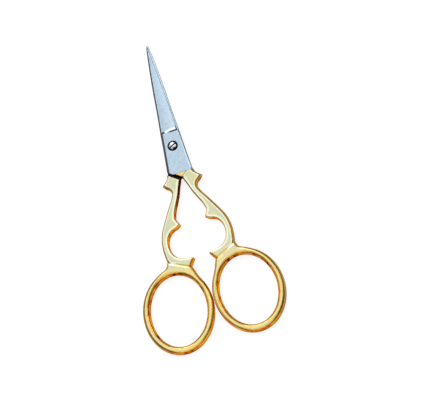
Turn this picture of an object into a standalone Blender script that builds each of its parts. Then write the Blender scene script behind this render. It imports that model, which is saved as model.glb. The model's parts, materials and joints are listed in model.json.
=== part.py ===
"""Embroidery scissors (thread snips) with ornamental gold-plated handles, lying closed.

Two drop-forged halves turn on one slotted screw. Each half is a ground steel blade that runs
through a half-lapped joint into a gold-plated shank, a scroll and an oval finger bow. The lower
half is the upper half turned over about the long axis, so the closed outline is symmetric. The
plated part of each half is an object of its own, because its finish differs.

The frame: +Z up out of the table, +Y towards the tips, origin on the table under the middle of
the closed scissors. Each half is drawn in millimetres about the pivot, with Z = 0 in the plane
where the two halves meet, and is then placed on the pivot.
"""

import math

import bmesh
import bpy
from mathutils import Vector

MM = 0.001

# Driving dimensions, in millimetres, from the pivot and from the plane between the halves.
TIP_Y = 31.0
BOW_END_Y = -58.18
HANDLE_TOP_Z = 1.35
JOINT_TOP_Z = 1.15
INNER_FACE_Z = 0.05
HANDLE_ROUNDING = 0.4
JOINT_CHAMFER = 0.25
PLATING_Y = -8.1  # the gold stops here
PLATING_GAP = 0.1  # between the plated object and the steel one
SHOULDER_GAP = 0.45  # between a heel and the other half's shoulder
PIVOT_Y = -(TIP_Y + BOW_END_Y) / 2  # puts the frame's origin at half length

# Finger bow: an oval whose top leans towards the other bow.
BOW_CENTRE = (10.15, -46.05)
BOW_OUTER = (9.97, 12.15)
HOLE_CENTRE = (10.08, -45.84)
BOW_HOLE = (7.9, 10.07)
BOW_LEAN = math.radians(5.8)

# Heel: the slanting back edge of the joint plate. The other half's shoulder lies along it.
HEEL_OUTER = (-3.55, -6.95)
HEEL_APEX = (0.25, -9.8)

# Crease between the scroll and the bow, as a straight V groove in both faces.
CREASE_START = (9.6, -32.25)
CREASE_END = (3.2, -35.2)
CREASE_WIDTH = 0.8

# Hollow grinding of the blade's outer face. The plunge is where it meets the joint plate.
PLUNGE_Y = 4.4
SPINE_AT_PLUNGE = (-2.62, PLUNGE_Y)
EDGE_AT_PLUNGE = (2.2, PLUNGE_Y)
EDGE_AT_TIP = (-0.1, TIP_Y)
SPINE_THICKNESS = 1.0
EDGE_THICKNESS = 0.12
EDGE_THICKNESS_AT_TIP = 0.24
WHEEL_RADIUS = 14.0

# Pivot screw.
HEAD_RADIUS = 1.34
HEAD_TOP_Z = 1.55
HEAD_CROWN = 0.18
HEAD_SEAT_Z = 0.8
HEAD_SEAT_RADIUS = 1.45
SLOT_WIDTH = 0.36
SLOT_DEPTH = 0.4
SLOT_ANGLE = math.radians(27)
SHANK_RADIUS = 0.95
THREAD_RADIUS = 0.9
THREAD_ROOT_RADIUS = 0.74
THREAD_PITCH = 0.36
CLEARANCE = 0.06  # round the screw
TAIL_Z = -1.2

GOLD = (0.86, 0.63, 0.24, 1.0)
BLADE_STEEL = (0.66, 0.71, 0.75, 1.0)
SCREW_STEEL = (0.58, 0.60, 0.62, 1.0)


# ---------------------------------------------------------------- scene and materials

def clear_scene():
    for obj in list(bpy.data.objects):
        bpy.data.objects.remove(obj)


def new_collection(name):
    collection = bpy.data.collections.new(name)
    bpy.context.scene.collection.children.link(collection)
    return collection


def metal(name, colour, roughness):
    material = bpy.data.materials.new(name)
    material.use_nodes = True
    shader = material.node_tree.nodes["Principled BSDF"]
    shader.inputs["Base Color"].default_value = colour
    shader.inputs["Metallic"].default_value = 1.0
    shader.inputs["Roughness"].default_value = roughness
    return material


def pivot_frame(name, turn=0.0):
    """An empty on the pivot, in the plane between the halves."""
    frame = bpy.data.objects.new(name, None)
    bpy.context.scene.collection.objects.link(frame)
    frame.location = (0, PIVOT_Y * MM, HANDLE_TOP_Z * MM)
    frame.rotation_euler.y = turn
    return frame


# ---------------------------------------------------------------- outlines

def smooth(*points):
    """Outline points that the outline runs through smoothly."""
    return [(x, y, "AUTO") for x, y in points]


def corner(*points):
    """Outline points where the outline turns sharply."""
    return [(x, y, "VECTOR") for x, y in points]


def oval(radii, start, stop, count):
    """Points of the bow's leaning oval between two angles in degrees, anticlockwise from +X."""
    points = []
    for i in range(count):
        angle = math.radians(start + (stop - start) * i / (count - 1))
        x, y = radii[0] * math.cos(angle), radii[1] * math.sin(angle)
        points.append((BOW_CENTRE[0] + x * math.cos(BOW_LEAN) - y * math.sin(BOW_LEAN),
                       BOW_CENTRE[1] + x * math.sin(BOW_LEAN) + y * math.cos(BOW_LEAN)))
    return smooth(*points)


def blade_outline():
    """The blade beyond the plunge, with a root that lies inside the joint plate."""
    return (
        corner((-1.9, 0.5), (-2.3, 3.0), SPINE_AT_PLUNGE)
        + smooth((-2.13, 10.5), (-1.8, 15.7), (-1.4, 20.9), (-0.9, 26.1), (-0.55, 29.0))
        + corner((-0.1, TIP_Y))
        + smooth((0.3, 26.2), (0.87, 21.0), (1.32, 15.8), (1.77, 10.6))
        + corner((2.25, PLUNGE_Y), (1.9, 0.5))
    )


def joint_outline():
    """The joint plate from the plunge to beyond the plating line, clockwise from the spine."""
    return (
        corner(SPINE_AT_PLUNGE, (2.6, PLUNGE_Y))
        + smooth((2.9, 0.3), (3.3, -4.7))
        + corner((3.64, -7.6), (4.6, -9.4), HEEL_APEX, HEEL_OUTER)
        + smooth((-3.3, -4.7), (-2.9, 0.3))
    )


def shank_outer_outline():
    """From the joint out round the knob and down the back of the scroll to the bow."""
    return (
        corner((3.64, -7.6))
        + smooth((4.2, -8.8), (5.05, -9.6))
        + corner((5.9, -10.3))
        + smooth((5.1, -11.3), (4.15, -12.1), (3.75, -13.0), (4.1, -14.0), (5.87, -17.0),
                 (8.2, -21.0), (9.25, -23.0), (9.95, -25.3), (10.22, -28.2), (10.05, -30.3))
        + corner((9.85, -31.75))
        + smooth((10.6, -33.1), (12.3, -34.0))
    )


def shank_inner_outline():
    """From the bow up round the scroll's end, the C, the thorn and the inner edge to the heel."""
    return (
        corner((3.4, -34.75), (2.0, -32.8), (2.35, -32.45))
        + smooth((3.1, -32.35), (4.7, -32.1), (5.95, -31.6), (6.95, -30.8), (7.7, -29.6),
                 (8.03, -28.2), (8.0, -26.7), (7.6, -25.4), (6.9, -24.35), (5.85, -23.6),
                 (4.6, -23.2))
        + corner((3.5, -22.5), (4.5, -20.5))
        + smooth((4.05, -18.8), (2.9, -16.3), (1.85, -14.0), (1.15, -12.0))
        + corner(HEEL_APEX, HEEL_OUTER)
    )


def handle_outline():
    """The handle, with a root that reaches over the plating line into the joint."""
    bow = oval(BOW_OUTER, 58, -218, 19)
    return corner((-3.3, -5.0), (3.3, -5.0)) + shank_outer_outline() + bow + shank_inner_outline()


# ---------------------------------------------------------------- shape helpers

def new_object(name, mesh, collection):
    obj = bpy.data.objects.new(name, mesh)
    collection.objects.link(obj)
    return obj


def outline_curve(outline, half_height):
    """A flat filled curve."""
    curve = bpy.data.curves.new("outline", "CURVE")
    curve.dimensions = "2D"
    curve.fill_mode = "BOTH"
    curve.resolution_u = 2
    curve.extrude = half_height * MM
    spline = curve.splines.new("BEZIER")
    spline.bezier_points.add(len(outline) - 1)
    spline.use_cyclic_u = True
    for point, (x, y, kind) in zip(spline.bezier_points, outline):
        point.co = (x * MM, y * MM, 0)
        point.handle_left_type = kind
        point.handle_right_type = kind
    return curve


def is_rim(edge):
    """True for an edge between a flat face and a side wall."""
    slopes = sorted(abs(face.normal.z) for face in edge.link_faces)
    return slopes[0] < 0.1 and slopes[1] > 0.9


def plate(name, outline, half_height, rounding, collection):
    """A plate with rounded rims, half of its thickness on either side of Z = 0."""
    holder = bpy.data.objects.new("outline", outline_curve(outline, half_height))
    bpy.context.scene.collection.objects.link(holder)
    graph = bpy.context.evaluated_depsgraph_get()
    mesh = bpy.data.meshes.new_from_object(holder.evaluated_get(graph))
    bpy.data.objects.remove(holder)
    mesh.name = name
    shape = bmesh.new()
    shape.from_mesh(mesh)
    bmesh.ops.remove_doubles(shape, verts=shape.verts, dist=0.001 * MM)
    bmesh.ops.recalc_face_normals(shape, faces=shape.faces)
    bmesh.ops.dissolve_limit(shape, angle_limit=math.radians(0.5), verts=shape.verts,
                             edges=shape.edges)
    if rounding:
        rims = [edge for edge in shape.edges if is_rim(edge)]
        bmesh.ops.bevel(shape, geom=rims, offset=rounding * MM, segments=2, profile=0.5,
                        affect="EDGES", clamp_overlap=True)
    shape.to_mesh(mesh)
    shape.free()
    mesh.shade_smooth()
    mesh.set_sharp_from_angle(angle=math.radians(40))
    return new_object(name, mesh, collection)


def box_cutter(name, size, centre, turn, tilt, frame, collection):
    """A box cutter, tilted about its own X and turned about Z."""
    mesh = bpy.data.meshes.new(name)
    shape = bmesh.new()
    bmesh.ops.create_cube(shape, size=1.0)
    bmesh.ops.scale(shape, vec=Vector(size) * MM, verts=shape.verts)
    shape.to_mesh(mesh)
    shape.free()
    obj = new_object(name, mesh, collection)
    obj.location = Vector(centre) * MM
    obj.rotation_euler = (tilt, 0, turn)
    return as_cutter(obj, frame)


def as_cutter(obj, frame):
    obj.parent = frame
    obj.hide_render = True
    obj.display_type = "WIRE"
    return obj


def turned(name, profile, steps, collection):
    """A solid of revolution about Z from (radius, height) points, top to bottom."""
    mesh = bpy.data.meshes.new(name)
    points = [(radius * MM, 0, height * MM) for radius, height in profile]
    mesh.from_pydata(points, [(i, i + 1) for i in range(len(points) - 1)], [])
    obj = new_object(name, mesh, collection)
    screw = obj.modifiers.new("turn", "SCREW")
    screw.steps = steps
    screw.render_steps = steps
    screw.use_merge_vertices = True
    screw.merge_threshold = 0.00001
    return obj


def boolean(obj, cutter, operation="DIFFERENCE"):
    modifier = obj.modifiers.new(cutter.name, "BOOLEAN")
    modifier.operation = operation
    modifier.solver = "EXACT"
    modifier.object = cutter


# ---------------------------------------------------------------- cutters

def shoulder_cutter(name, low, high, setback, frame, collection):
    """Clears the joint in front of the shoulder, which lies along the other half's heel."""
    outer = Vector((-HEEL_OUTER[0], HEEL_OUTER[1]))
    apex = Vector((-HEEL_APEX[0], HEEL_APEX[1]))
    along = (outer - apex).normalized()
    away = Vector((along.y, -along.x))
    length = 70.0
    centre = (outer + apex) / 2 + away * (setback - length / 2)
    return box_cutter(name, (length, length, high - low), (centre.x, centre.y, (low + high) / 2),
                      math.atan2(along.y, along.x), 0, frame, collection)


def plating_cutter(name, towards_tip, frame, collection):
    """Everything on one side of the plating line."""
    side = 1 if towards_tip else -1
    length = 80.0
    centre_y = PLATING_Y + side * (PLATING_GAP / 2 + length / 2)
    return box_cutter(name, (60.0, length, 10.0), (0, centre_y, 0), 0, 0, frame, collection)


def crease_cutter(name, height, frame, collection):
    start, end = Vector(CREASE_START), Vector(CREASE_END)
    along = end - start
    middle = (start + end) / 2
    side = CREASE_WIDTH / math.sqrt(2)
    return box_cutter(name, (along.length, side, side), (middle.x, middle.y, height),
                      math.atan2(along.y, along.x), math.radians(45), frame, collection)


def grinding_wheel(name, frame, collection):
    """The wheel that hollows the outer face: its rim passes over the spine and along the edge."""
    length = 80.0
    profile = [(0, length), (WHEEL_RADIUS, length), (WHEEL_RADIUS, 0), (0, 0)]
    wheel = turned(name, profile, 192, collection)
    spine = Vector((*SPINE_AT_PLUNGE, INNER_FACE_Z + SPINE_THICKNESS))
    edge = Vector((*EDGE_AT_PLUNGE, INNER_FACE_Z + EDGE_THICKNESS))
    tip = Vector((*EDGE_AT_TIP, INNER_FACE_Z + EDGE_THICKNESS_AT_TIP))
    axis = (tip - edge).normalized()
    chord = spine - edge
    outward = axis.cross(chord).normalized()
    rise = math.sqrt(WHEEL_RADIUS ** 2 - (chord.length / 2) ** 2)
    wheel.location = ((spine + edge) / 2 + outward * rise - axis * length / 2) * MM
    wheel.rotation_euler = axis.to_track_quat("Z", "Y").to_euler()
    return as_cutter(wheel, frame)


def bow_hole(name, frame, collection):
    """The finger hole with rounded rims: a turned shape stretched into an oval."""
    rim = HANDLE_ROUNDING / BOW_HOLE[0]
    upper_side = [(1 + rim, 3.0)]
    for i in range(4):
        angle = math.radians(30 * i)
        upper_side.append((1 + rim * (1 - math.sin(angle)),
                           HANDLE_TOP_Z - HANDLE_ROUNDING * (1 - math.cos(angle))))
    lower_side = [(radius, -height) for radius, height in reversed(upper_side)]
    hole = turned(name, [(0, 3.0)] + upper_side + lower_side + [(0, -3.0)], 72, collection)
    hole.scale = (*BOW_HOLE, 1)
    hole.location = Vector((*HOLE_CENTRE, 0)) * MM
    hole.rotation_euler.z = BOW_LEAN
    return as_cutter(hole, frame)


def bore_cutter(name, radius, frame, collection):
    cutter = turned(name, [(0, 3), (radius, 3), (radius, -3), (0, -3)], 64, collection)
    return as_cutter(cutter, frame)


# ---------------------------------------------------------------- the parts

def ground_blade(side, frame, collection):
    """The blade beyond the plunge, to be joined to the joint plate."""
    blade = plate(f"{side}_ground_blade", blade_outline(), JOINT_TOP_Z, 0, collection)
    boolean(blade, grinding_wheel(f"{side}_grinding_wheel", frame, collection))
    return as_cutter(blade, frame)


def half(side, frame, bore_radius, parts, cutters):
    """One half as a steel blade object and a plated handle object."""
    blade = plate(f"{side}_blade", joint_outline(), JOINT_TOP_Z, JOINT_CHAMFER, parts)
    boolean(blade, ground_blade(side, frame, cutters), "UNION")
    handle = plate(f"{side}_handle", handle_outline(), HANDLE_TOP_Z, HANDLE_ROUNDING, parts)
    boolean(handle, bow_hole(f"{side}_bow_hole", frame, cutters))
    lap = shoulder_cutter(f"{side}_lap", -5.0, INNER_FACE_Z, SHOULDER_GAP, frame, cutters)
    for obj in (blade, handle):
        obj.parent = frame
        boolean(obj, lap)
    joint_face = shoulder_cutter(f"{side}_joint_face", JOINT_TOP_Z, 5.0, 0.0, frame, cutters)
    boolean(handle, joint_face)
    boolean(blade, plating_cutter(f"{side}_steel_zone", True, frame, cutters), "INTERSECT")
    boolean(handle, plating_cutter(f"{side}_plated_zone", False, frame, cutters), "INTERSECT")
    boolean(blade, bore_cutter(f"{side}_bore", bore_radius, frame, cutters))
    for face_name, height in (("outer", HANDLE_TOP_Z), ("inner", -HANDLE_TOP_Z)):
        boolean(handle, crease_cutter(f"{side}_{face_name}_crease", height, frame, cutters))
    return blade, handle


def head_seat(frame, collection):
    profile = [(0, 3), (HEAD_SEAT_RADIUS, 3), (HEAD_SEAT_RADIUS, HEAD_SEAT_Z), (0, HEAD_SEAT_Z)]
    return as_cutter(turned("head_seat", profile, 64, collection), frame)


def screw_profile():
    """The screw's outer side from the crown of its head to its tail."""
    profile = []
    for i in range(5):
        share = i / 4
        radius = (HEAD_RADIUS - 0.12) * share
        profile.append((radius, HEAD_TOP_Z - HEAD_CROWN * share ** 2))
    edge_z = HEAD_TOP_Z - HEAD_CROWN
    underside_z = HEAD_SEAT_Z + CLEARANCE
    profile += [(HEAD_RADIUS, edge_z - 0.12), (HEAD_RADIUS, underside_z),
                (SHANK_RADIUS, underside_z), (SHANK_RADIUS, 0), (THREAD_ROOT_RADIUS, -0.08)]
    crest_z = -0.08 - THREAD_PITCH / 2
    while crest_z - THREAD_PITCH / 2 > TAIL_Z:
        profile += [(THREAD_RADIUS, crest_z), (THREAD_ROOT_RADIUS, crest_z - THREAD_PITCH / 2)]
        crest_z -= THREAD_PITCH
    return profile + [(THREAD_ROOT_RADIUS, TAIL_Z), (0, TAIL_Z)]


def pivot_screw(frame, parts, cutters):
    screw = turned("pivot_screw", screw_profile(), 64, parts)
    screw.parent = frame
    slot = box_cutter("slot", (4.0, SLOT_WIDTH, 2 * SLOT_DEPTH), (0, 0, HEAD_TOP_Z), SLOT_ANGLE, 0,
                      frame, cutters)
    boolean(screw, slot)
    return screw


def build():
    clear_scene()
    parts = new_collection("embroidery_scissors")
    cutters = new_collection("cutters")
    fixed = pivot_frame("pivot_fixed")
    lower = pivot_frame("lower_half", math.pi)
    upper = pivot_frame("upper_half")
    gold = metal("gold_plating", GOLD, 0.25)
    steel = metal("satin_steel", BLADE_STEEL, 0.3)
    lower_blade, lower_handle = half("lower", lower, THREAD_RADIUS + CLEARANCE, parts, cutters)
    upper_blade, upper_handle = half("upper", upper, SHANK_RADIUS + CLEARANCE, parts, cutters)
    boolean(upper_blade, head_seat(upper, cutters))
    screw = pivot_screw(fixed, parts, cutters)
    for obj in (lower_blade, upper_blade):
        obj.data.materials.append(steel)
    for obj in (lower_handle, upper_handle):
        obj.data.materials.append(gold)
    screw.data.materials.append(metal("screw_steel", SCREW_STEEL, 0.2))


build()
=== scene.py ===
"""Gold-handled embroidery scissors, lying closed: the visible surfaces and the studio.

Every piece is a level set of a signed distance, in millimetres about the pivot, with Z = 0 in the
plane between the two halves. The lower half is the upper one turned over about the Y axis.
"""

import math

import bpy
import numpy as np
from mathutils import Matrix, Vector
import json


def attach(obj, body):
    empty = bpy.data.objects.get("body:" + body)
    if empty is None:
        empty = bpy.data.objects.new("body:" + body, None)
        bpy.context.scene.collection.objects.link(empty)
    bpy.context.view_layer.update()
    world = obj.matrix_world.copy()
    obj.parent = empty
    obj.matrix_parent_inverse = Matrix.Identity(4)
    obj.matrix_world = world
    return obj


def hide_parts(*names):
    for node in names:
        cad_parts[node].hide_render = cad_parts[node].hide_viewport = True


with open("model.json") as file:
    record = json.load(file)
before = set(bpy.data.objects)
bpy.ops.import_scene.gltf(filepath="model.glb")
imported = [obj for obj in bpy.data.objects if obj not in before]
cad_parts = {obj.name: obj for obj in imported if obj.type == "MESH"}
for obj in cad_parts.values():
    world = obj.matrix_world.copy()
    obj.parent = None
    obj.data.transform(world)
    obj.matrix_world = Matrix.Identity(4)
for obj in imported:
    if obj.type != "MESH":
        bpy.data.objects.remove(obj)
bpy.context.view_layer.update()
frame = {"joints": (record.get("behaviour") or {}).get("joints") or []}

MM = 0.001
PIVOT = Vector(frame["joints"][0]["pos_m"])

# Outline of one half, in millimetres: handle on +X, spine on -X.
TIP = (-0.3, 30.8)
POINT = (-0.05, 31.1)
PLUNGE_Y = 4.35
PLUNGE_EDGE = (2.22, PLUNGE_Y)
PLATING_Y = -8.1
HEEL_OUTER = (-3.5, -6.95)
HEEL_APEX = (0.25, -9.8)
SPINE = [(-3.3, -4.7), (-2.9, 0.3), (-2.56, 5.3), (-2.13, 10.5), (-1.8, 15.7), (-1.4, 20.9),
         (-0.9, 26.1), (-0.62, 28.7), (-0.4, 30.2)]
EDGE = [(0.3, 26.2), (0.87, 21.0), (1.32, 15.8), (1.77, 10.6)]
BOW_CENTRE = (10.15, -46.05)
BOW_OUTER = (10.07, 12.15)
HOLE_CENTRE = (10.08, -45.84)
BOW_HOLE = (7.95, 10.12)
BOW_LEAN = math.radians(5.8)

# The side of the scroll towards the other half, where the walls are steeper and the edges sharper.
INNER_SIDE = [(0.0, -9.6), (2.3, -10.6), (2.5, -13.0), (3.5, -16.0), (5.4, -19.0), (6.0, -21.5),
              (7.6, -23.2), (9.0, -26.0), (9.1, -29.5), (8.0, -31.9), (6.0, -32.9), (4.0, -33.2),
              (2.0, -32.85), (0.0, -32.6), (-3.0, -20.0)]

# Heights, in millimetres from the plane between the halves.
HANDLE_TOP = 1.35
JOINT_TOP = 1.15
INNER_FACE = 0.05

# Between the heel of one half and the shoulder of the other.
SHOULDER_GAP = 0.75

# The handle's walls lean in from the parting line, by these angles. Its edges are round.
BACK_DRAFT, INNER_DRAFT, BOW_DRAFT = (math.radians(angle) for angle in (15, 9, 8))
BACK_EDGE_RADIUS = 0.42
INNER_EDGE_RADIUS = 0.26
BOW_EDGE_RADIUS = 0.8
CREASE_RADIUS = 0.25
PARTING_RADIUS = 0.1

# The blade, ground thin towards its edge, and hollow between edge and spine. The spine's thickness
# is given at the plunge and at the point, and the hollow's depth for the blade's width there.
SPINE_THICKNESS = (1.0, 0.5)
EDGE_THICKNESS = 0.26
HOLLOW_DEPTH = 0.13
BLADE_WIDTH = 4.8
SCOOP_START = PLUNGE_Y - 0.25
SPINE_CHAMFER = 0.75
CHAMFER_SLOPE = 0.55

# A last bevel, steeper than the grind, which leaves the edge fine and the point a little blunt.
BEVEL_SLOPE = 0.5
BEVEL_THICKNESS = 0.13
POINT_BLUNTNESS = 0.15

SCREW_TOP = 1.55
DOME_RADIUS = 2.6
HEAD_RADIUS = 1.13
HEAD_EDGE_RADIUS = 0.2
HEAD_UNDERSIDE = 0.86
SLOT_ANGLE = math.radians(27)
SLOT_WIDTH = 0.34
SLOT_FLOOR = 1.1
SHANK_RADIUS = 0.9
SHANK_ENDS = (-1.2, 1.0)
SEAT_RADIUS = 1.45
SEAT_FLOOR = 0.8
UPPER_BORE = 1.01
LOWER_BORE = 0.96


# ---------------------------------------------------------------- outlines

def smooth(*points):
    """Points that the outline runs through smoothly."""
    return [(x, y, False) for x, y in points]


def corner(*points):
    """Points where the outline has a corner."""
    return [(x, y, True) for x, y in points]


def oval(centre, radii, start, stop, count):
    """Points on a leaning oval of the bow between two angles in degrees, anticlockwise from +X."""
    points = []
    for i in range(count):
        angle = math.radians(start + (stop - start) * i / (count - 1))
        x, y = radii[0] * math.cos(angle), radii[1] * math.sin(angle)
        points.append((centre[0] + x * math.cos(BOW_LEAN) - y * math.sin(BOW_LEAN),
                       centre[1] + x * math.sin(BOW_LEAN) + y * math.cos(BOW_LEAN)))
    return points


def shank_outline():
    """The half without its bow: blade, joint, knob, back of the scroll, C, thorn and heel."""
    return (
        smooth(*SPINE) + corner(TIP, POINT) + smooth(*EDGE)
        + corner(PLUNGE_EDGE, (2.6, PLUNGE_Y - 0.1))
        + smooth((2.9, 0.3), (3.3, -4.7))
        + corner((3.64, -7.6))
        + smooth((4.2, -8.8), (5.05, -9.6))
        + corner((5.9, -10.3))
        + smooth((5.1, -11.3), (4.15, -12.1), (3.75, -13.0), (4.1, -14.0), (5.87, -17.0),
                 (8.2, -21.0), (9.25, -23.0), (9.95, -25.3), (10.22, -28.2), (10.05, -30.3))
        + corner((9.85, -31.75))
        + smooth((9.35, -32.7), (7.3, -33.6), (5.8, -34.35), (4.3, -35.0))
        + corner((3.4, -34.75), (2.0, -32.8), (2.35, -32.45))
        + smooth((3.1, -32.35), (4.7, -32.1), (5.95, -31.6), (6.95, -30.8), (7.7, -29.6),
                 (8.03, -28.2), (8.0, -26.7), (7.6, -25.4), (6.9, -24.35), (5.85, -23.6),
                 (4.6, -23.2))
        + corner((3.5, -22.5), (4.5, -20.5))
        + smooth((4.05, -18.8), (2.9, -16.3), (1.85, -14.0), (1.15, -12.0))
        + corner(HEEL_APEX, HEEL_OUTER)
    )


def bow_outline():
    """The bow's outer edge with the shoulder that reaches up to the scroll."""
    return (
        smooth(*oval(BOW_CENTRE, BOW_OUTER, 58, -222, 40))
        + corner((3.4, -34.75))
        + smooth((4.1, -34.45), (5.6, -33.75), (7.1, -32.95), (8.7, -32.15))
        + corner((9.85, -31.75))
        + smooth((10.55, -33.15), (12.3, -34.05))
    )


def tangent(before, at, after):
    """Direction of a smooth outline at a point, given the points on either side of it."""
    first, second = np.linalg.norm(at - before), np.linalg.norm(after - at)
    return ((after - at) / second * first + (at - before) / first * second) / (first + second)


def sampled(outline, step=0.25):
    """A closed outline as a dense array of points, smooth except at its corners."""
    points = np.array([(x, y) for x, y, _ in outline])
    count = len(points)
    dense = []
    for i in range(count):
        before, start, end, after = (points[(i + k) % count] for k in (-1, 0, 1, 2))
        sharp_start, sharp_end = outline[i][2], outline[(i + 1) % count][2]
        length = np.linalg.norm(end - start)
        along = (end - start) / length
        leave = (along if sharp_start else tangent(before, start, end)) * length
        arrive = (along if sharp_end else tangent(start, end, after)) * length
        steps = max(2, int(length / step))
        t = (np.arange(steps) / steps)[:, None]
        dense.append((2 * t**3 - 3 * t**2 + 1) * start + (t**3 - 2 * t**2 + t) * leave
                     + (3 * t**2 - 2 * t**3) * end + (t**3 - t**2) * arrive)
    return np.concatenate(dense)


def inset(polygon, x, y):
    """Distance inside a closed polygon, negative outside."""
    shape = x.shape
    px, py = x.ravel(), y.ravel()
    best = np.full(px.shape, np.inf)
    inside = np.zeros(px.shape, bool)
    for (ax, ay), (bx, by) in zip(polygon, np.roll(polygon, -1, axis=0)):
        ex, ey = bx - ax, by - ay
        t = np.clip(((px - ax) * ex + (py - ay) * ey) / (ex * ex + ey * ey), 0, 1)
        best = np.minimum(best, (px - ax - t * ex) ** 2 + (py - ay - t * ey) ** 2)
        if ay != by:
            crosses = ((ay > py) != (by > py)) & (px < (bx - ax) * (py - ay) / (by - ay) + ax)
            inside ^= crosses
    return np.where(inside, 1.0, -1.0).reshape(shape) * np.sqrt(best).reshape(shape)


# ---------------------------------------------------------------- level sets

def step_between(low, high, value):
    """0 below low, 1 above high, smooth between."""
    t = np.clip((value - low) / (high - low), 0, 1)
    return t * t * (3 - 2 * t)


def rounded_and(a, b, radius):
    """What is inside both a and b, with a round edge where they meet."""
    return (np.minimum(-radius, np.maximum(a, b))
            + np.hypot(np.maximum(a + radius, 0), np.maximum(b + radius, 0)))


def crossings(field, grid, axis):
    """Where the grid's lines along an axis cross the zero level of a field.

    Gives the index of the grid point before each crossing, the place of the crossing, and whether
    that grid point is inside.
    """
    low = np.moveaxis(field, axis, 0)[:-1]
    high = np.moveaxis(field, axis, 0)[1:]
    before = np.argwhere(np.moveaxis((low < 0) != (high < 0), 0, axis))
    after = before.copy()
    after[:, axis] += 1
    a, b = field[tuple(before.T)], field[tuple(after.T)]
    place = np.stack([grid[k][before[:, k]] for k in range(3)], axis=1)
    step = grid[axis][after[:, axis]] - grid[axis][before[:, axis]]
    place[:, axis] += a / (a - b) * step
    return before, place, a < 0


def surface(field, xs, ys, zs):
    """Vertices and quads of the zero level of a field sampled on a grid.

    A cell that the level passes through has one vertex, the mean of the crossings on its edges. A
    crossing has one quad, between the four cells round it, with its normal out of the piece.
    """
    cells = tuple(count - 1 for count in field.shape)
    total, hits = np.zeros(cells + (3,)), np.zeros(cells)
    rings = []
    for axis in range(3):
        before, place, inside = crossings(field, (xs, ys, zs), axis)
        across = [k for k in range(3) if k != axis]
        ring = []
        for back in ((0, 0), (1, 0), (1, 1), (0, 1)):
            cell = before.copy()
            cell[:, across] -= back
            ring.append(cell)
            np.add.at(total, tuple(cell.T), place)
            np.add.at(hits, tuple(cell.T), 1)
        reverse = inside == (axis == 1)
        rings.append((ring, reverse))
    used = hits > 0
    vertices = total[used] / hits[used][:, None]
    number = np.full(cells, -1)
    number[used] = np.arange(used.sum())
    quads = []
    for ring, reverse in rings:
        corners = np.stack([number[tuple(cell.T)] for cell in ring], axis=1)
        corners[reverse] = corners[reverse][:, ::-1]
        quads.append(corners)
    return vertices, np.concatenate(quads)


def make_piece(name, shape, low, high, step):
    """The piece whose inside is where its shape is negative, in a box that is sampled in steps."""
    axes = [np.arange(low[k] - step[k] * 1.5, high[k] + step[k] * 2.5, step[k]) for k in range(3)]
    field = shape(*axes)
    vertices, quads = surface(field, *axes)
    mesh = bpy.data.meshes.new(name)
    mesh.from_pydata((vertices * MM).tolist(), [], quads.tolist())
    mesh.shade_smooth()
    obj = bpy.data.objects.new(name, mesh)
    bpy.context.scene.collection.objects.link(obj)
    obj.location = PIVOT
    return obj


def mark_depth(obj, *outlines):
    """Stores each vertex's distance inside the outlines, which the material reads."""
    places = np.array([vertex.co for vertex in obj.data.vertices]) / MM
    depth = np.max([inset(sampled(one), places[:, 0], places[:, 1]) for one in outlines], axis=0)
    obj.data.attributes.new("depth", "FLOAT", "POINT").data.foreach_set("value", depth)


# ---------------------------------------------------------------- shape of a half

def shoulder_distance(x, y):
    """Distance beyond the line of the other half's heel, away from the pivot."""
    ax, ay = -HEEL_APEX[0], HEEL_APEX[1]
    bx, by = -HEEL_OUTER[0], HEEL_OUTER[1]
    length = math.hypot(bx - ax, by - ay)
    return ((x - ax) * (by - ay) - (y - ay) * (bx - ax)) / length


def blend(share, a, b):
    return a + (b - a) * share


def section(depth, z, top, draft, radius):
    """A plate's section: flat faces, round edges, walls that lean in from the parting line."""
    height = np.hypot(z, PARTING_RADIUS)
    wall = height * np.sin(draft) - depth * np.cos(draft)
    return rounded_and(np.abs(z) - top, wall, radius)


def lapped(solid, x, y, z, joint_top=True):
    """Cuts away the lower side of the joint, and the step down to the joint's top face."""
    beyond = shoulder_distance(x, y)
    lap = np.maximum(beyond - SHOULDER_GAP, z - INNER_FACE)
    solid = np.maximum(solid, -lap)
    if joint_top:
        solid = np.maximum(solid, -np.maximum(beyond, JOINT_TOP - z))
    return solid


def handle_shape(xs, ys, zs):
    """All that is gold-plated of a half: shoulder, knob, shank, scroll and bow."""
    x2, y2 = np.meshgrid(xs, ys, indexing="ij")
    shank = inset(sampled(shank_outline()), x2, y2)[:, :, None]
    inner = step_between(-0.3, 0.3, inset(np.array(INNER_SIDE), x2, y2))[:, :, None]
    hole = sampled(smooth(*oval(HOLE_CENTRE, BOW_HOLE, 0, 351, 40)))
    bow = np.minimum(inset(sampled(bow_outline()), x2, y2), -inset(hole, x2, y2))[:, :, None]
    x, y, z = x2[:, :, None], y2[:, :, None], zs[None, None, :]
    scroll = section(shank, z, HANDLE_TOP, blend(inner, BACK_DRAFT, INNER_DRAFT),
                     blend(inner, BACK_EDGE_RADIUS, INNER_EDGE_RADIUS))
    ring = section(bow, z, HANDLE_TOP, BOW_DRAFT, BOW_EDGE_RADIUS)
    solid = -rounded_and(-scroll, -ring, CREASE_RADIUS)
    solid = lapped(solid, x, y, z)
    return np.maximum(solid, y - PLATING_Y)


def outline_x(points, y):
    """The outline's X at each Y, along points given from one end to the other."""
    ordered = sorted((py, px) for px, py in points)
    return np.interp(y, [p[0] for p in ordered], [p[1] for p in ordered])


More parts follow.
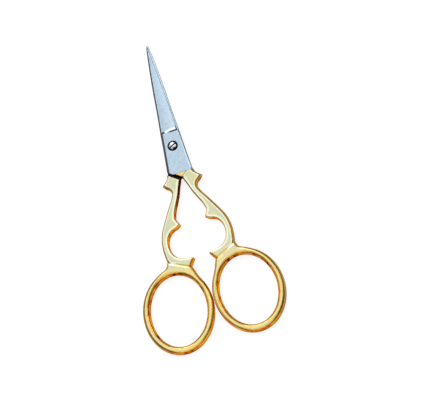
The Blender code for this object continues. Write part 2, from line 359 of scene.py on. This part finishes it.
def ground_face(x, y):
    """Height of the blade's outer face: hollow ground, with a chamfered spine and a fine edge."""
    spine_x = outline_x(SPINE + [TIP], y)
    edge_x = outline_x(EDGE + [POINT, PLUNGE_EDGE], y)
    along = np.clip((y - PLUNGE_Y) / (POINT[1] - PLUNGE_Y), 0, 1)
    width = np.maximum(edge_x - spine_x, 0.05)
    share = np.clip((edge_x - x) / width, -0.2, 1.2)
    spine_thickness = blend(along, *SPINE_THICKNESS)
    hollow = HOLLOW_DEPTH * (width / BLADE_WIDTH) ** 2
    face = blend(share, EDGE_THICKNESS, spine_thickness) - 4 * hollow * share * (1 - share)
    spine_side = spine_thickness - CHAMFER_SLOPE * (SPINE_CHAMFER - (x - spine_x))
    edge_side = BEVEL_THICKNESS + POINT_BLUNTNESS * along**4 + BEVEL_SLOPE * (edge_x - x)
    return INNER_FACE + np.minimum(np.minimum(face, spine_side), edge_side)


def joint_chamfer(x, y, z, depth):
    """Above 0 outside the sloped edges of the joint, wider along the spine and at the heel."""
    width = np.where(x < 0, SPINE_CHAMFER, np.clip(0.3 - 0.04 * y, 0.2, 0.55))
    from_side = np.where(x < 0, x - outline_x(SPINE + [HEEL_OUTER], y), depth)
    beyond = np.abs(z) - JOINT_TOP + CHAMFER_SLOPE * (width - from_side)
    as_distance = 0.87
    return beyond * as_distance


def ground_away(x, y, z):
    """Above 0 where the grinding wheel went: past the plunge, which it left as a round scoop."""
    face = ground_face(x, y)
    scoop_length = np.clip(1.6 + 0.25 * x, 0.9, 2.0)
    reach = np.clip((y - SCOOP_START) / scoop_length, 0, 1)
    scoop = 1 - np.sqrt(1 - (1 - reach) ** 2)
    face = blend(scoop, face, JOINT_TOP)
    above_all = 5.0
    face = np.where(y < SCOOP_START, above_all, face)
    as_distance = 0.95
    return (z - face) * as_distance


def steel_shape(bore_radius, seat_radius=0):
    """A blade with its joint plate, with a bore and, if asked for, a seat for the screw's head."""
    def shape(xs, ys, zs):
        x2, y2 = np.meshgrid(xs, ys, indexing="ij")
        depth = inset(sampled(shank_outline()), x2, y2)[:, :, None]
        x, y, z = x2[:, :, None], y2[:, :, None], zs[None, None, :]
        solid = np.maximum(np.abs(z) - JOINT_TOP, -depth)
        solid = np.maximum(solid, joint_chamfer(x, y, z, depth))
        solid = lapped(solid, x, y, z, joint_top=False)
        solid = np.maximum(solid, ground_away(x, y, z))
        radius = np.hypot(x, y)
        solid = np.maximum(solid, bore_radius - radius)
        if seat_radius:
            solid = np.maximum(solid, -np.maximum(radius - seat_radius, SEAT_FLOOR - z))
        return np.maximum(solid, PLATING_Y - y)
    return shape


def screw_shape(xs, ys, zs):
    """A crowned head with a slot, on a plain shank."""
    x, y, z = np.meshgrid(xs, ys, zs, indexing="ij")
    radius = np.hypot(x, y)
    dome = np.sqrt(radius**2 + (z - SCREW_TOP + DOME_RADIUS) ** 2) - DOME_RADIUS
    head = rounded_and(dome, radius - HEAD_RADIUS, HEAD_EDGE_RADIUS)
    head = np.maximum(head, HEAD_UNDERSIDE - z)
    shank = np.maximum(z - SHANK_ENDS[1], SHANK_ENDS[0] - z)
    shank = np.maximum(radius - SHANK_RADIUS, shank)
    solid = np.minimum(head, shank)
    across = np.abs(-x * math.sin(SLOT_ANGLE) + y * math.cos(SLOT_ANGLE)) - SLOT_WIDTH / 2
    slot = np.maximum(across, SLOT_FLOOR - z)
    return np.maximum(solid, -slot)


# ---------------------------------------------------------------- pieces

def turn_over(obj):
    obj.rotation_euler = (0, math.pi, 0)


# Each box is its low corner, its high corner and the steps of its grid. It starts where no flat
# face of its piece falls on a layer of the grid.
HANDLE_BOX = (-3.6, -58.4, -1.34), (20.4, PLATING_Y, HANDLE_TOP), (0.14, 0.14, 0.12)
BLADE_BOX = (-3.7, PLATING_Y, -1.135), (3.9, 31.15, JOINT_TOP), (0.08, 0.1, 0.06)
SCREW_BOX = (-1.4, -1.4, SHANK_ENDS[0]), (1.4, 1.4, SCREW_TOP), (0.05, 0.05, 0.05)

handle_upper = make_piece("handle_upper", handle_shape, *HANDLE_BOX)
mark_depth(handle_upper, shank_outline(), bow_outline())
handle_lower = handle_upper.copy()
handle_lower.name = "handle_lower"
bpy.context.scene.collection.objects.link(handle_lower)
turn_over(handle_lower)
blade_upper = make_piece("blade_upper", steel_shape(UPPER_BORE, SEAT_RADIUS), *BLADE_BOX)
blade_lower = make_piece("blade_lower", steel_shape(LOWER_BORE), *BLADE_BOX)
turn_over(blade_lower)
screw = make_piece("screw", screw_shape, *SCREW_BOX)


# ---------------------------------------------------------------- materials

class Graph:
    """A material's shader nodes. Every input is given as a value or as another node's output."""

    def __init__(self, name):
        self.material = bpy.data.materials.new(name)
        self.material.use_nodes = True
        self.tree = self.material.node_tree
        self.shader = self.tree.nodes["Principled BSDF"]
        self.place = self.node("ShaderNodeTexCoord")

    def plug(self, socket, value):
        """Gives a socket its value, or links it to another node's output."""
        if isinstance(value, bpy.types.NodeSocket):
            self.tree.links.new(value, socket)
        elif isinstance(value, tuple) and len(value) == 3 and socket.type == "RGBA":
            socket.default_value = (*value, 1)
        else:
            socket.default_value = value

    def node(self, kind, inputs=(), **settings):
        """A new node with its settings made and its inputs plugged."""
        node = self.tree.nodes.new(kind)
        for name, value in settings.items():
            setattr(node, name, value)
        for key, value in dict(inputs).items():
            self.plug(node.inputs[key], value)
        return node

    def set(self, **inputs):
        """Plugs inputs of the surface shader, named with underscores for spaces."""
        for name, value in inputs.items():
            self.plug(self.shader.inputs[name.replace("_", " ")], value)

    def millimetres(self, stretch=(1, 1, 1)):
        """Place on the piece, in millimetres, scaled along each axis to stretch a texture."""
        scale = tuple(share / MM for share in stretch)
        return self.node("ShaderNodeMapping", {"Vector": self.place.outputs["Object"],
                                               "Scale": scale}).outputs[0]

    def math(self, operation, a, b=0.0):
        return self.node("ShaderNodeMath", {0: a, 1: b}, operation=operation).outputs[0]

    def both(self, a, b):
        """Where one mask and the other are 1."""
        return self.math("MULTIPLY", a, b)

    def either(self, a, b):
        """Where one mask or the other is 1."""
        return self.math("MAXIMUM", a, b)

    def normal(self, axis):
        """The part of the surface's normal along an axis of the piece, -1 to 1."""
        return self.node("ShaderNodeSeparateXYZ", {0: self.place.outputs["Normal"]}).outputs[axis]

    def flatness(self):
        """1 on the flat faces of the halves and 0 on upright walls."""
        return self.math("ABSOLUTE", self.normal(2))

    def facing_out(self):
        """How squarely the surface faces +X of the piece, away from the other half."""
        return self.normal(0)

    def facing_tip(self):
        """How squarely the surface faces +Y of the piece, towards the blade's tip."""
        return self.normal(1)

    def facing_up(self):
        """The height of the surface's normal in the world, -1 where it faces the ground."""
        normal = self.node("ShaderNodeNewGeometry").outputs["Normal"]
        return self.node("ShaderNodeSeparateXYZ", {0: normal}).outputs[2]

    def from_axis(self):
        """Distance from the pivot's axis, in millimetres."""
        flat = self.millimetres((1, 1, 0))
        return self.node("ShaderNodeVectorMath", {0: flat}, operation="LENGTH").outputs["Value"]

    def from_bow(self):
        """How squarely the bow's surface faces away from its middle, 0 on the scroll."""
        middle = (*BOW_CENTRE, 0)
        arm = self.node("ShaderNodeVectorMath", {0: self.millimetres((1, 1, 0)), 1: middle},
                        operation="SUBTRACT").outputs[0]
        arm = self.node("ShaderNodeVectorMath", {0: arm}, operation="NORMALIZE").outputs[0]
        facing = self.node("ShaderNodeVectorMath", {0: arm, 1: self.place.outputs["Normal"]},
                           operation="DOT_PRODUCT").outputs["Value"]
        return self.both(facing, self.span(self.along(1), -34, -36))

    def along(self, axis):
        """Place along an axis of the piece, in millimetres from the pivot."""
        return self.node("ShaderNodeSeparateXYZ", {0: self.millimetres()}).outputs[axis]

    def height(self):
        """Distance from the plane between the halves, in millimetres."""
        return self.math("ABSOLUTE", self.along(2))

    def near(self, axis, place, clear, full):
        """1 within a distance of a place along an axis, 0 beyond a larger one, in millimetres."""
        distance = self.math("ABSOLUTE", self.math("SUBTRACT", self.along(axis), place))
        return self.span(distance, clear, full)

    def lap(self):
        """1 on the flat faces where the halves lie on each other, painted dark as shadow in the gap
        between them.
        """
        return self.both(self.span(self.height(), 0.3, 0.2), self.span(self.flatness(), 0.7, 0.9))

    def noise(self, scale, detail, stretch=(1, 1, 1)):
        """Smooth noise with about scale bumps to a millimetre."""
        vector = self.millimetres(stretch)
        return self.node("ShaderNodeTexNoise", {"Vector": vector, "Scale": scale,
                                                "Detail": detail}).outputs["Fac"]

    def ramp(self, value, *stops):
        """The colour that a value has on a ramp through (position, colour) stops."""
        ramp = self.node("ShaderNodeValToRGB", {0: value})
        elements = ramp.color_ramp.elements
        while len(elements) < len(stops):
            elements.new(0.5)
        for element, (position, colour) in zip(elements, stops):
            element.position = position
            element.color = (*colour, 1)
        return ramp.outputs[0]

    def span(self, value, low, high, start=0.0, end=1.0):
        """Takes low..high to start..end, and holds beyond."""
        return self.node("ShaderNodeMapRange", {"Value": value, "From Min": low, "From Max": high,
                                                "To Min": start, "To Max": end}).outputs[0]

    def mix(self, share, a, b):
        """Colour a where the share is 0, b where it is 1."""
        node = self.node("ShaderNodeMix", {0: share}, data_type="RGBA")
        self.plug(node.inputs[6], a)
        self.plug(node.inputs[7], b)
        return node.outputs[2]

    def dim(self, colour, factor):
        """The colour made darker or lighter."""
        return self.node("ShaderNodeVectorMath", {0: colour, 1: (factor,) * 3},
                         operation="MULTIPLY").outputs[0]

    def bump(self, height, depth_mm):
        """The surface's normal, tilted as if the height were that many millimetres deep."""
        return self.node("ShaderNodeBump", {"Height": height, "Distance": depth_mm * MM,
                                            "Strength": 1.0}).outputs[0]


def gold_face(g):
    """Pale satin flats: cool with painted highlights along the rims of the scroll, yellower on the
    bow and the joint.
    """
    y = g.along(1)
    grain = g.noise(3.6, 3)
    mottle = g.math("ADD", g.math("MULTIPLY", g.noise(1.1, 2), 0.5),
                    g.math("MULTIPLY", grain, 0.5))
    scroll = g.ramp(mottle, (0.36, (0.56, 0.66, 0.52)), (0.5, (0.68, 0.68, 0.43)),
                    (0.62, (0.80, 0.70, 0.33)))
    bow = g.ramp(mottle, (0.36, (0.76, 0.76, 0.46)), (0.5, (0.86, 0.73, 0.34)),
                 (0.62, (0.92, 0.66, 0.20)))
    depth = g.node("ShaderNodeAttribute", attribute_name="depth").outputs["Fac"]
    ragged = g.span(grain, 0.3, 0.7, -0.12, 0.12)
    rim = g.span(g.math("ADD", depth, ragged), 0.98, 0.78)
    rim = g.both(rim, g.span(y, -34, -32.5))
    # Painted highlight: a pale band along the scroll's rims, just inside its outline.
    rim_highlight = (0.95, 0.96, 0.76)
    scroll = g.mix(g.math("MULTIPLY", rim, 0.85), scroll, rim_highlight)
    face = g.mix(g.span(y, -36, -33), bow, scroll)
    joint = g.span(g.height(), JOINT_TOP + 0.1, JOINT_TOP + 0.05)
    joint_gold = (0.84, 0.64, 0.27)
    return g.mix(joint, face, joint_gold)


def gold_wall(g, from_bow, outside):
    """Walls painted orange to brown as reflections of what lies around them, with painted shade:
    olive on the outer sides and towards the tip, brown in the crotch, underneath and along the
    widest line.
    """
    tip = g.facing_tip()
    # Painted shade: more dark patches on the bow's walls that face away from the tip, most inside
    # its hole.
    shaded = g.either(g.span(from_bow, 0, -0.3), g.span(from_bow, 0.3, 0.6, 0, 0.6))
    shaded = g.math("MULTIPLY", g.span(tip, -0.5, -0.85, 0, 0.1), shaded)
    wall = g.ramp(g.math("SUBTRACT", g.noise(0.4, 2, stretch=(1, 1, 0.3)), shaded),
                  (0.32, (0.08, 0.015, 0.004)), (0.40, (0.55, 0.15, 0.012)),
                  (0.50, (0.84, 0.29, 0.020)), (0.66, (0.92, 0.42, 0.045)))
    # Painted shade: olive on the outer walls, except where they face away from the tip, and on walls
    # facing the tip.
    olive, tip_olive = (0.44, 0.29, 0.09), (0.42, 0.28, 0.08)
    wall = g.mix(g.both(outside, g.span(tip, -0.8, -0.4)), wall, olive)
    wall = g.mix(g.span(tip, 0.3, 0.7), wall, tip_olive)
    # Painted shade: dark brown in the crotch between the halves, and dull brown where the walls face
    # the ground.
    crotch = g.both(g.span(g.facing_out(), -0.2, -0.6), g.span(g.along(1), -21, -14))
    crotch_shade_brown, underside_shade_brown = (0.03, 0.008, 0.004), (0.20, 0.10, 0.02)
    wall = g.mix(crotch, wall, crotch_shade_brown)
    underside = g.span(g.facing_up(), -0.15, -0.6)
    wall = g.mix(underside, wall, underside_shade_brown)
    # Painted shade: the walls are dimmed by half near the plane between the halves, which gives the
    # pieces a dark outline.
    parting = g.span(g.height(), 0.5, 0.1)
    return g.mix(parting, wall, g.dim(wall, 0.5))


def gold_edge(g, from_bow, outside):
    """Edges between face and wall, with painted shade in brown on the outer sides and a painted
    highlight in yellow where the bows meet.
    """
    edge = g.ramp(g.noise(0.8, 3), (0.4, (0.80, 0.46, 0.08)), (0.6, (0.90, 0.66, 0.20)))
    # Painted shade in brown and painted highlight in yellow.
    brown, yellow = (0.22, 0.13, 0.04), (1.0, 0.70, 0.09)
    edge = g.mix(outside, edge, brown)
    touching = g.both(g.span(from_bow, 0.1, 0.4), g.span(g.facing_out(), -0.2, -0.5))
    return g.mix(touching, edge, yellow)


def gold_plating():
    """Bright gold plate with painted light and shade: pale satin faces with painted highlights on
    the scroll's rims, golden edges, deep orange down the walls.
    """
    g = Graph("gold_plating")
    out, tip, from_bow = g.facing_out(), g.facing_tip(), g.from_bow()
    outside = g.either(g.both(g.span(out, 0.2, 0.7), g.span(g.along(1), -34, -31)),
                       g.both(g.span(from_bow, 0.1, 0.5), g.span(out, 0.1, 0.5)))
    # The painted pale face of the bow narrows by its hole and on its outer and lower sides.
    up = g.math("SUBTRACT", g.flatness(), g.span(from_bow, -0.02, -0.2, 0, 0.13))
    rim_side = g.either(g.span(out, 0.05, 0.2, 0, 0.07), g.span(tip, -0.2, -0.6, 0, 0.12))
    up = g.math("SUBTRACT", up, g.both(g.span(from_bow, 0.02, 0.2), rim_side))
    wall, edge = gold_wall(g, from_bow, outside), gold_edge(g, from_bow, outside)
    # Painted light and shade: pale where the surface faces up, golden on its edges, orange to brown
    # down the walls.
    colour = g.mix(g.span(up, 0.60, 0.82), wall, edge)
    colour = g.mix(g.span(up, 0.88, 0.97), colour, gold_face(g))
    # Painted shadow: the faces where the halves lie on each other are nearly black, as seen in the
    # gap between heel and shoulder.
    lap_gap_shadow = (0.02, 0.012, 0.006)
    colour = g.mix(g.lap(), colour, lap_gap_shadow)
    g.set(Base_Color=colour, Metallic=1.0, Specular_Tint=(0.75, 0.45, 0.12),
          Roughness=g.span(g.noise(1.7, 3), 0.3, 0.7, 0.18, 0.34),
          Normal=g.bump(g.noise(9, 2), 0.006))
    return g.material


def plunge_shadows(g):
    """The dark reflections at the plunge: a line towards the edge and a spot by the spine."""
    line = g.both(g.near(1, PLUNGE_Y, 0.45, 0.25), g.span(g.along(0), -0.5, 0.3))
    spot = g.both(g.near(0, -1.7, 0.6, 0.3), g.near(1, PLUNGE_Y + 0.1, 0.5, 0.2))
    outer_face = g.span(g.along(2), 0.08, 0.15)
    return g.both(g.either(line, spot), outer_face)


def blade_steel():
    """Satin stainless steel, ground across the blade, with polished chamfers, and painted light and
    shade: lighter and darker bands on the face, dark walls, spine chamfer, screw seat, heel gap and
    plunge.
    """
    g = Graph("blade_steel")
    up, lean, y = g.flatness(), g.facing_out(), g.along(1)
    strokes = g.noise(1.0, 3, stretch=(0.9, 9, 0.9))
    satin = g.ramp(g.math("ADD", g.math("MULTIPLY", g.noise(1.3, 4), 0.6),
                          g.math("MULTIPLY", strokes, 0.4)),
                   (0.36, (0.44, 0.56, 0.67)), (0.64, (0.53, 0.66, 0.77)))
    # Painted highlight and shade: the face is lighter where it leans a little out towards the edge,
    # darker on the steep edge bevel, and lighter towards the tip.
    ground = g.mix(g.span(lean, 0.08, 0.27), g.dim(satin, 1.2), g.dim(satin, 0.82))
    face = g.mix(g.span(lean, 0.02, 0.05), g.dim(satin, 1.02), ground)
    face = g.mix(g.span(y, 12, 24), face, g.dim(face, 1.12))
    # Painted shade: dark grey on the spine chamfer, on the walls and in the screw's seat.
    chamfer_grey, wall_grey, seat_grey = (0.14, 0.14, 0.16), (0.12, 0.13, 0.16), (0.025, 0.025, 0.03)
    spine_chamfer = g.span(lean, -0.30, -0.42)
    face = g.mix(spine_chamfer, face, chamfer_grey)
    flat = g.span(up, 0.1, 0.75)
    colour = g.mix(flat, wall_grey, face)
    # Painted shadow: nearly black on the heel's lap faces, in the gap between heel and shoulder.
    heel = g.both(g.lap(), g.span(y, -5, -6.5))
    heel_gap_shadow, plunge_brown = (0.02, 0.015, 0.012), (0.035, 0.025, 0.022)
    colour = g.mix(heel, colour, heel_gap_shadow)
    colour = g.mix(plunge_shadows(g), colour, plunge_brown)
    seat = g.span(g.from_axis(), SEAT_RADIUS + 0.07, SEAT_RADIUS - 0.03)
    colour = g.mix(seat, colour, seat_grey)
    roughness = g.span(strokes, 0.3, 0.7, 0.24, 0.34)
    polish = g.span(up, 0.86, 0.97, 0.5, 1.0)
    # The walls' dark specular tint dims their reflections, part of the same painted shade.
    g.set(Base_Color=colour, Metallic=1.0,
          Specular_Tint=g.mix(flat, (0.15, 0.15, 0.15), (1.0, 1.0, 1.0)),
          Roughness=g.math("MULTIPLY", roughness, polish),
          Normal=g.bump(strokes, 0.005))
    return g.material


def screw_steel():
    """Turned steel: fine rings about the axis, with painted shade on the side of the head, in the
    slot and at the head's lower edge.
    """
    g = Graph("screw_steel")
    rings = g.node("ShaderNodeTexWave", {"Vector": g.millimetres(), "Scale": 2.2, "Distortion": 0.4},
                   wave_type="RINGS", rings_direction="Z").outputs["Fac"]
    head_side_shade, painted_shade_grey = (0.015, 0.015, 0.018), (0.02, 0.02, 0.022)
    colour = g.ramp(g.noise(1.6, 3), (0.35, (0.62, 0.64, 0.66)), (0.65, (0.86, 0.88, 0.90)))
    # Painted shade: near black on the head's side and in its slot.
    colour = g.mix(g.span(g.flatness(), 0.6, 0.85), head_side_shade, colour)
    above_slot = g.span(g.along(2), SLOT_FLOOR + 0.1, SLOT_FLOOR + 0.15)
    colour = g.mix(above_slot, painted_shade_grey, colour)
    # Painted shade: a dark spot at the lower edge of the head.
    lower_edge_shade = g.both(g.near(0, 0.27, 0.55, 0.3), g.near(1, -0.95, 0.5, 0.3))
    colour = g.mix(lower_edge_shade, colour, painted_shade_grey)
    g.set(Base_Color=colour, Metallic=1.0,
          Roughness=g.span(g.noise(3, 2), 0.3, 0.7, 0.12, 0.24),
          Normal=g.bump(rings, 0.004))
    return g.material


gold = gold_plating()
steel = blade_steel()
handle_upper.data.materials.append(gold)
blade_upper.data.materials.append(steel)
blade_lower.data.materials.append(steel)
screw.data.materials.append(screw_steel())

for obj, body, node, slot in (
    (handle_upper, "upper_half", "upper_handle", "gold_plating"),
    (blade_upper, "upper_half", "upper_blade", "blade_steel"),
    (handle_lower, "lower_half", "lower_handle", "gold_plating"),
    (blade_lower, "lower_half", "lower_blade", "blade_steel"),
    (screw, "lower_half", "pivot_screw", "screw_steel"),
):
    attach(obj, body)
    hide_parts(node)


# ---------------------------------------------------------------- studio

CAMERA_AZIMUTH, CAMERA_ELEVATION, CAMERA_ROLL = (math.radians(a) for a in (25.0, 69.9, 41.3))
CAMERA_TARGET = PIVOT + Vector((7.64, -18.97, 1.55)) * MM
CAMERA_DISTANCE = 0.85
SENSOR = 36

# What the picture takes in from side to side at the target.
VIEW_WIDTH = 118.164 * MM

FLOOR_SIZE = 3
FLOOR_Z = -0.00002
LIGHT_DISTANCE = 1.6

FLOOR_GLOW = 0.78
WORLD_COLOUR = (0.9, 0.95, 1.0)
WORLD_STRENGTH = 0.22


def make_floor():
    """A plain pale sheet, just under the part, that glows a little."""
    bpy.ops.mesh.primitive_plane_add(size=FLOOR_SIZE, location=(0, 0, FLOOR_Z))
    floor = bpy.context.object
    floor.name = "floor"
    g = Graph("floor")
    shade = g.ramp(g.node("ShaderNodeTexNoise", {"Scale": 3.0}).outputs["Fac"],
                   (0.3, (0.39, 0.39, 0.385)), (0.7, (0.41, 0.41, 0.405)))
    g.set(Base_Color=shade, Roughness=0.8, Specular_IOR_Level=0.2)
    g.set(Emission_Color=(1.0, 1.0, 1.0), Emission_Strength=FLOOR_GLOW)
    floor.data.materials.append(g.material)


def softbox(name, azimuth, elevation, size, radiance):
    """A rectangular light facing the pivot. Its azimuth, anticlockwise from +X, is in degrees."""
    azimuth, elevation = math.radians(azimuth), math.radians(elevation)
    towards = Vector((math.cos(azimuth) * math.cos(elevation),
                      math.sin(azimuth) * math.cos(elevation), math.sin(elevation)))
    data = bpy.data.lights.new(name, "AREA")
    data.shape = "RECTANGLE"
    data.size, data.size_y = size
    data.energy = radiance * math.pi * size[0] * size[1]
    light = bpy.data.objects.new(name, data)
    bpy.context.scene.collection.objects.link(light)
    light.location = PIVOT + towards * LIGHT_DISTANCE
    light.rotation_euler = towards.to_track_quat("Z", "Y").to_euler()


def make_world():
    world = bpy.data.worlds.new("world")
    world.use_nodes = True
    background = world.node_tree.nodes["Background"]
    background.inputs["Color"].default_value = (*WORLD_COLOUR, 1)
    background.inputs["Strength"].default_value = WORLD_STRENGTH
    bpy.context.scene.world = world


def make_camera():
    """The camera that sees the part as it lies, turned by its azimuth, elevation and roll."""
    back = Vector((math.sin(CAMERA_AZIMUTH) * math.cos(CAMERA_ELEVATION),
                   -math.cos(CAMERA_AZIMUTH) * math.cos(CAMERA_ELEVATION),
                   math.sin(CAMERA_ELEVATION)))
    level = Vector((math.cos(CAMERA_AZIMUTH), math.sin(CAMERA_AZIMUTH), 0))
    upward = back.cross(level)
    right = level * math.cos(CAMERA_ROLL) - upward * math.sin(CAMERA_ROLL)
    up = level * math.sin(CAMERA_ROLL) + upward * math.cos(CAMERA_ROLL)
    camera = bpy.data.objects.new("camera", bpy.data.cameras.new("camera"))
    bpy.context.scene.collection.objects.link(camera)
    rotation = Matrix((right, up, back)).transposed()
    place = CAMERA_TARGET + back * CAMERA_DISTANCE
    camera.matrix_world = Matrix.Translation(place) @ rotation.to_4x4()
    camera.data.sensor_width = SENSOR
    camera.data.lens = SENSOR * CAMERA_DISTANCE / VIEW_WIDTH
    bpy.context.scene.camera = camera


make_floor()
softbox("overhead", 105, 70, (1.9, 1.9), 0.83)
softbox("right", 26, 44, (0.7, 0.6), 1.7)
softbox("far", 98, 30, (0.9, 1.1), 1.8)
softbox("left", 162, 24, (1.4, 0.9), 0.4)
softbox("near", -95, 42, (1.6, 2.0), 0.75)
make_world()
make_camera()
bpy.context.scene.view_settings.view_transform = "Standard"
